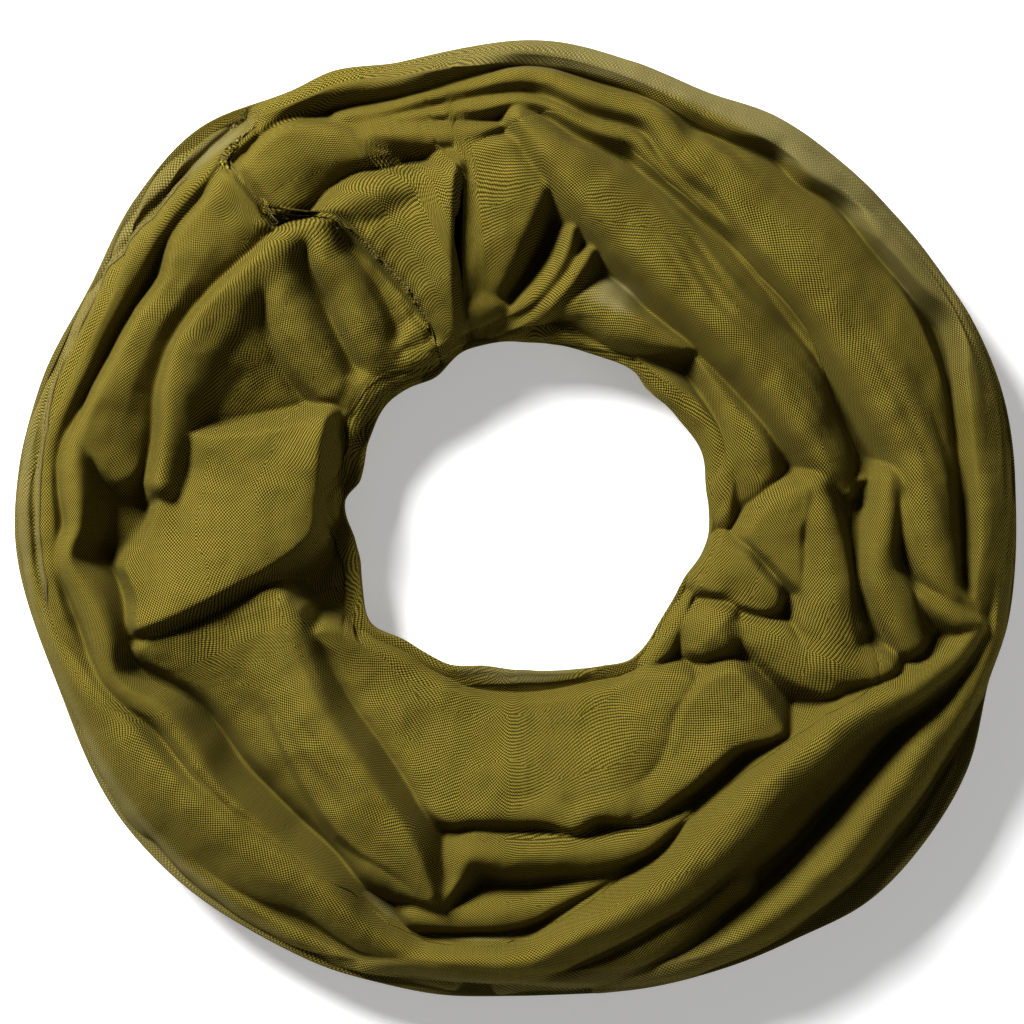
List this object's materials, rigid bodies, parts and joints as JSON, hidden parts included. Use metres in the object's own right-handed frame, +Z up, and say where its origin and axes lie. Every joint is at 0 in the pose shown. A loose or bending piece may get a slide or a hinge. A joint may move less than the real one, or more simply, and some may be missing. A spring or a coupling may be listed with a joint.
{
  "type": "loop scarf",
  "caption": "Loop scarf of thin woven cloth, joined end to end by a seam, laid doubled in a gathered ring with a neck opening.",
  "frame": {"origin": "on the surface the scarf lies on, under the middle of the ring", "axes": "+Z up, square to the surface and through the neck opening; +X along the ring's longer side; the joining seam crosses the ring 120 degrees round from +X towards +Y"},
  "size_m": [0.4, 0.382, 0.068],
  "materials": {
    "cloth": "matte",
    "hem": "matte",
    "thread": "satin"
  },
  "bodies": {
    "root": {"cloth_first_turn": "cloth", "cloth_second_turn": "cloth", "seam_allowance": "cloth", "seam_thread": "thread", "seam_overlock_thread": "thread", "first_edge_hem": "hem", "first_hem_thread": "thread", "second_edge_hem": "hem", "second_hem_thread": "thread"}
  },
  "joints": []
}
